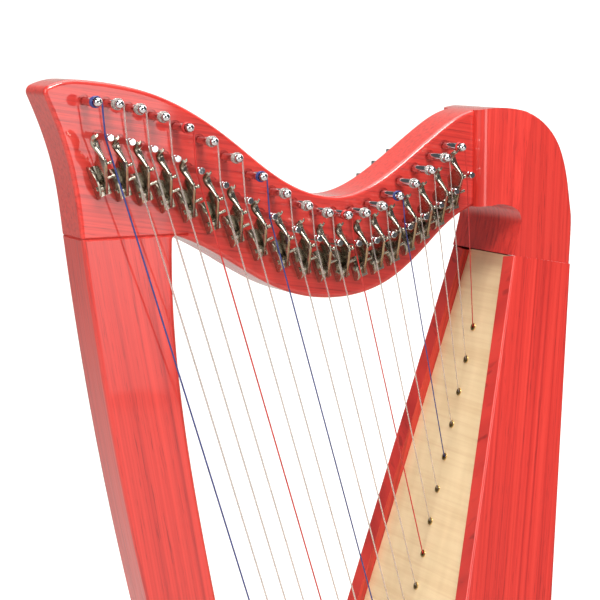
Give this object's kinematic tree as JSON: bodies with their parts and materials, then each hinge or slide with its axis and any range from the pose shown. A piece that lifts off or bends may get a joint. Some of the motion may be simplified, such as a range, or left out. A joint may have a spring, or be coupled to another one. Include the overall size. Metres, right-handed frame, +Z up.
{
  "type": "lever harp",
  "caption": "Small lever harp: curved neck and pillar, tapered soundbox, strings on turning tuning pins, each with a lever that flips up to sharpen its string.",
  "frame": {"origin": "on the floor, under the middle of the harp's bounding box", "axes": "+Z up, +X from the pillar to the player's shoulder, levers on the -Y side"},
  "size_m": [0.3648, 0.2244, 0.6304],
  "materials": {
    "red_lacquered_wood": "red stained ash with clear gloss lacquer",
    "pale_wood": "clear lacquered pale maple",
    "plain_wood": "unfinished hardwood",
    "chrome": "polished",
    "nickel": "satin nickel plate",
    "brass": "polished eyelets",
    "rubber": "matte",
    "clear_nylon": "clear nylon",
    "red_nylon": "red nylon",
    "blue_nylon": "blue nylon"
  },
  "bodies": {
    "frame": {"neck": "red_lacquered_wood", "pillar": "red_lacquered_wood", "shoulder_block": "red_lacquered_wood", "side_board_left": "red_lacquered_wood", "side_board_right": "red_lacquered_wood", "soundboard": "pale_wood", "string_rib": "plain_wood", "soundboard_grommets": "brass", "box_linings": "plain_wood", "end_block": "plain_wood", "back_panel": "red_lacquered_wood", "base": "red_lacquered_wood", "rubber_feet": "rubber", "joint_dowels": "plain_wood", "bridge_pins": "chrome", "lever_brackets": "nickel", "bracket_screws": "nickel", "lever_rivets": "nickel", "string_knots": "clear_nylon", "strings_blue": "blue_nylon", "strings_clear": "clear_nylon", "strings_red": "red_nylon"},
    "pin_01": {"tuning_pin_01": "chrome"},
    "lever_01": {"lever_01": "nickel"},
    "pin_02": {"tuning_pin_02": "chrome"},
    "lever_02": {"lever_02": "nickel"},
    "pin_03": {"tuning_pin_03": "chrome"},
    "lever_03": {"lever_03": "nickel"},
    "pin_04": {"tuning_pin_04": "chrome"},
    "lever_04": {"lever_04": "nickel"},
    "pin_05": {"tuning_pin_05": "chrome"},
    "lever_05": {"lever_05": "nickel"},
    "pin_06": {"tuning_pin_06": "chrome"},
    "lever_06": {"lever_06": "nickel"},
    "pin_07": {"tuning_pin_07": "chrome"},
    "lever_07": {"lever_07": "nickel"},
    "pin_08": {"tuning_pin_08": "chrome"},
    "lever_08": {"lever_08": "nickel"},
    "pin_09": {"tuning_pin_09": "chrome"},
    "lever_09": {"lever_09": "nickel"},
    "pin_10": {"tuning_pin_10": "chrome"},
    "lever_10": {"lever_10": "nickel"},
    "pin_11": {"tuning_pin_11": "chrome"},
    "lever_11": {"lever_11": "nickel"},
    "pin_12": {"tuning_pin_12": "chrome"},
    "lever_12": {"lever_12": "nickel"},
    "pin_13": {"tuning_pin_13": "chrome"},
    "lever_13": {"lever_13": "nickel"},
    "pin_14": {"tuning_pin_14": "chrome"},
    "lever_14": {"lever_14": "nickel"},
    "pin_15": {"tuning_pin_15": "chrome"},
    "lever_15": {"lever_15": "nickel"},
    "pin_16": {"tuning_pin_16": "chrome"},
    "lever_16": {"lever_16": "nickel"},
    "pin_17": {"tuning_pin_17": "chrome"},
    "lever_17": {"lever_17": "nickel"},
    "pin_18": {"tuning_pin_18": "chrome"},
    "lever_18": {"lever_18": "nickel"},
    "pin_19": {"tuning_pin_19": "chrome"},
    "lever_19": {"lever_19": "nickel"}
  },
  "joints": [
    {"name": "pin_turn_01", "type": "hinge", "parent": "frame", "child": "pin_01", "pos_m": [-0.15741, -0.017, 0.61785], "axis": [0, -1, 0], "continuous": true},
    {"name": "lever_flip_01", "type": "hinge", "parent": "frame", "child": "lever_01", "pos_m": [-0.14825, -0.0235, 0.56738], "axis": [0.9459, 0, 0.3246], "range_deg": [0, 80]},
    {"name": "pin_turn_02", "type": "hinge", "parent": "frame", "child": "pin_02", "pos_m": [-0.14377, -0.017, 0.61634], "axis": [0, -1, 0], "continuous": true},
    {"name": "lever_flip_02", "type": "hinge", "parent": "frame", "child": "lever_02", "pos_m": [-0.13502, -0.0235, 0.56582], "axis": [0.9457, 0, 0.3251], "range_deg": [0, 80]},
    {"name": "pin_turn_03", "type": "hinge", "parent": "frame", "child": "pin_03", "pos_m": [-0.12949, -0.017, 0.61318], "axis": [0, -1, 0], "continuous": true},
    {"name": "lever_flip_03", "type": "hinge", "parent": "frame", "child": "lever_03", "pos_m": [-0.12115, -0.0235, 0.56259], "axis": [0.9455, 0, 0.3256], "range_deg": [0, 80]},
    {"name": "pin_turn_04", "type": "hinge", "parent": "frame", "child": "pin_04", "pos_m": [-0.11454, -0.017, 0.60825], "axis": [0, -1, 0], "continuous": true},
    {"name": "lever_flip_04", "type": "hinge", "parent": "frame", "child": "lever_04", "pos_m": [-0.10662, -0.0235, 0.55766], "axis": [0.9454, 0, 0.3259], "range_deg": [0, 80]},
    {"name": "pin_turn_05", "type": "hinge", "parent": "frame", "child": "pin_05", "pos_m": [-0.09898, -0.017, 0.60153], "axis": [0, -1, 0], "continuous": true},
    {"name": "lever_flip_05", "type": "hinge", "parent": "frame", "child": "lever_05", "pos_m": [-0.09148, -0.0235, 0.55115], "axis": [0.9453, 0, 0.3262], "range_deg": [0, 80]},
    {"name": "pin_turn_06", "type": "hinge", "parent": "frame", "child": "pin_06", "pos_m": [-0.08288, -0.017, 0.59294], "axis": [0, -1, 0], "continuous": true},
    {"name": "lever_flip_06", "type": "hinge", "parent": "frame", "child": "lever_06", "pos_m": [-0.07579, -0.0235, 0.54322], "axis": [0.9452, 0, 0.3264], "range_deg": [0, 80]},
    {"name": "pin_turn_07", "type": "hinge", "parent": "frame", "child": "pin_07", "pos_m": [-0.06636, -0.017, 0.58247], "axis": [0, -1, 0], "continuous": true},
    {"name": "lever_flip_07", "type": "hinge", "parent": "frame", "child": "lever_07", "pos_m": [-0.05967, -0.0235, 0.53421], "axis": [0.9452, 0, 0.3265], "range_deg": [0, 80]},
    {"name": "pin_turn_08", "type": "hinge", "parent": "frame", "child": "pin_08", "pos_m": [-0.04971, -0.017, 0.57063], "axis": [0, -1, 0], "continuous": true},
    {"name": "lever_flip_08", "type": "hinge", "parent": "frame", "child": "lever_08", "pos_m": [-0.04338, -0.0235, 0.52491], "axis": [0.9452, 0, 0.3264], "range_deg": [0, 80]},
    {"name": "pin_turn_09", "type": "hinge", "parent": "frame", "child": "pin_09", "pos_m": [-0.03353, -0.017, 0.5597], "axis": [0, -1, 0], "continuous": true},
    {"name": "lever_flip_09", "type": "hinge", "parent": "frame", "child": "lever_09", "pos_m": [-0.02752, -0.0235, 0.51699], "axis": [0.9453, 0, 0.3261], "range_deg": [0, 80]},
    {"name": "pin_turn_10", "type": "hinge", "parent": "frame", "child": "pin_10", "pos_m": [-0.01818, -0.017, 0.55145], "axis": [0, -1, 0], "continuous": true},
    {"name": "lever_flip_10", "type": "hinge", "parent": "frame", "child": "lever_10", "pos_m": [-0.01244, -0.0235, 0.51155], "axis": [0.9455, 0, 0.3256], "range_deg": [0, 80]},
    {"name": "pin_turn_11", "type": "hinge", "parent": "frame", "child": "pin_11", "pos_m": [-0.00372, -0.017, 0.5464], "axis": [0, -1, 0], "continuous": true},
    {"name": "lever_flip_11", "type": "hinge", "parent": "frame", "child": "lever_11", "pos_m": [0.0018, -0.0235, 0.5087], "axis": [0.9458, 0, 0.3246], "range_deg": [0, 80]},
    {"name": "pin_turn_12", "type": "hinge", "parent": "frame", "child": "pin_12", "pos_m": [0.00999, -0.017, 0.54441], "axis": [0, -1, 0], "continuous": true},
    {"name": "lever_flip_12", "type": "hinge", "parent": "frame", "child": "lever_12", "pos_m": [0.01531, -0.0235, 0.50819], "axis": [0.9463, 0, 0.3232], "range_deg": [0, 80]},
    {"name": "pin_turn_13", "type": "hinge", "parent": "frame", "child": "pin_13", "pos_m": [0.023, -0.017, 0.54522], "axis": [0, -1, 0], "continuous": true},
    {"name": "lever_flip_13", "type": "hinge", "parent": "frame", "child": "lever_13", "pos_m": [0.02815, -0.0235, 0.50981], "axis": [0.947, 0, 0.3212], "range_deg": [0, 80]},
    {"name": "pin_turn_14", "type": "hinge", "parent": "frame", "child": "pin_14", "pos_m": [0.03548, -0.017, 0.5489], "axis": [0, -1, 0], "continuous": true},
    {"name": "lever_flip_14", "type": "hinge", "parent": "frame", "child": "lever_14", "pos_m": [0.04047, -0.0235, 0.51321], "axis": [0.948, 0, 0.3183], "range_deg": [0, 80]},
    {"name": "pin_turn_15", "type": "hinge", "parent": "frame", "child": "pin_15", "pos_m": [0.04755, -0.017, 0.55498], "axis": [0, -1, 0], "continuous": true},
    {"name": "lever_flip_15", "type": "hinge", "parent": "frame", "child": "lever_15", "pos_m": [0.05239, -0.0235, 0.51804], "axis": [0.9493, 0, 0.3142], "range_deg": [0, 80]},
    {"name": "pin_turn_16", "type": "hinge", "parent": "frame", "child": "pin_16", "pos_m": [0.05934, -0.017, 0.56255], "axis": [0, -1, 0], "continuous": true},
    {"name": "lever_flip_16", "type": "hinge", "parent": "frame", "child": "lever_16", "pos_m": [0.064, -0.0235, 0.52412], "axis": [0.9513, 0, 0.3084], "range_deg": [0, 80]},
    {"name": "pin_turn_17", "type": "hinge", "parent": "frame", "child": "pin_17", "pos_m": [0.07092, -0.017, 0.57054], "axis": [0, -1, 0], "continuous": true},
    {"name": "lever_flip_17", "type": "hinge", "parent": "frame", "child": "lever_17", "pos_m": [0.07538, -0.0235, 0.5314], "axis": [0.954, 0, 0.2998], "range_deg": [0, 80]},
    {"name": "pin_turn_18", "type": "hinge", "parent": "frame", "child": "pin_18", "pos_m": [0.08239, -0.017, 0.57813], "axis": [0, -1, 0], "continuous": true},
    {"name": "lever_flip_18", "type": "hinge", "parent": "frame", "child": "lever_18", "pos_m": [0.08659, -0.0235, 0.54001], "axis": [0.958, 0, 0.2868], "range_deg": [0, 80]},
    {"name": "pin_turn_19", "type": "hinge", "parent": "frame", "child": "pin_19", "pos_m": [0.09394, -0.017, 0.58463], "axis": [0, -1, 0], "continuous": true},
    {"name": "lever_flip_19", "type": "hinge", "parent": "frame", "child": "lever_19", "pos_m": [0.09775, -0.0235, 0.55032], "axis": [0.9641, 0, 0.2654], "range_deg": [0, 80]}
  ]
}
